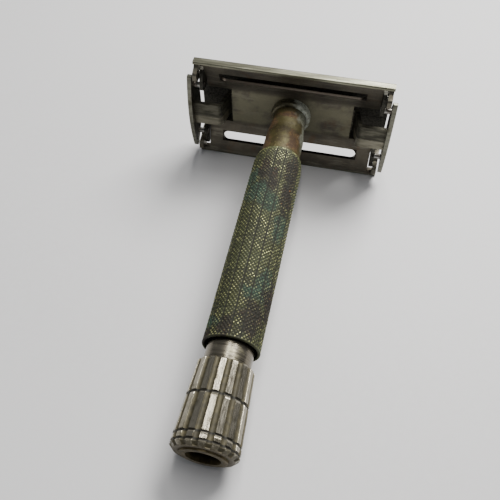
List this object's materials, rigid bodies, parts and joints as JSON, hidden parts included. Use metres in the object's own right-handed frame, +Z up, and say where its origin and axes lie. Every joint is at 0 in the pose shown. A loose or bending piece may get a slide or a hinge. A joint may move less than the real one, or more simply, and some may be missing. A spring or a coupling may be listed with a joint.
{
  "type": "double-edge safety razor",
  "caption": "Twist-to-open safety razor with two domed doors over a guard, a knurled tube handle and a fluted turning knob.",
  "frame": {"origin": "bottom centre of the bounding box of the razor lying on its lower guard lip and the knob's rim, doors closed", "axes": "+Y from the knob towards the head, +Z up from the surface the razor lies on, +X along the head to the right as seen from the knob"},
  "size_m": [0.0442, 0.0806, 0.026],
  "materials": {
    "tarnished_brass": "worn",
    "plain_brass": "satin",
    "worn_nickel": "worn",
    "bright_nickel": "satin",
    "steel": "satin"
  },
  "bodies": {
    "handle": {"grip_tube": "tarnished_brass", "neck_tube": "tarnished_brass", "neck_collar": "tarnished_brass", "guard_plate": "worn_nickel", "rod_bush": "plain_brass", "neck_bush": "plain_brass"},
    "knob": {"knob_shell": "bright_nickel", "knob_core": "plain_brass", "knob_sleeve": "bright_nickel", "drive_rod": "plain_brass", "drive_screw": "steel", "thrust_washer": "steel", "retaining_ring": "steel"},
    "carriage": {"stem_nut": "plain_brass", "centre_bar": "worn_nickel", "blade_ribs": "worn_nickel", "right_end_plate": "worn_nickel", "left_end_plate": "worn_nickel", "upper_pivot_pins": "steel", "lower_pivot_pins": "steel"},
    "upper_door_body": {"upper_door": "worn_nickel", "upper_heel_pins": "steel"},
    "lower_door_body": {"lower_door": "worn_nickel", "lower_heel_pins": "steel"}
  },
  "joints": [
    {"name": "knob_turn", "type": "hinge", "parent": "handle", "child": "knob", "pos_m": [0, -0.03993, 0.00558], "axis": [0, -0.9951, -0.099], "range_deg": [0, 540]},
    {"name": "carriage_lift", "type": "slide", "parent": "handle", "child": "carriage", "axis": [0, 0.9951, 0.099], "range_m": [0, 0.005]},
    {"name": "upper_door_swing", "type": "hinge", "parent": "carriage", "child": "upper_door_body", "pos_m": [0, 0.03383, 0.01975], "axis": [1, 0, 0], "range_deg": [0, 62]},
    {"name": "lower_door_swing", "type": "hinge", "parent": "carriage", "child": "lower_door_body", "pos_m": [0, 0.03518, 0.00622], "axis": [-1, 0, 0], "range_deg": [0, 62]}
  ],
  "couplings": [
    {"joint": "knob_turn", "follows": "carriage_lift", "rad_per_m": 1885},
    {"joint": "upper_door_swing", "follows": "carriage_lift", "rad_per_m": 216.42},
    {"joint": "lower_door_swing", "follows": "carriage_lift", "rad_per_m": 216.42}
  ]
}
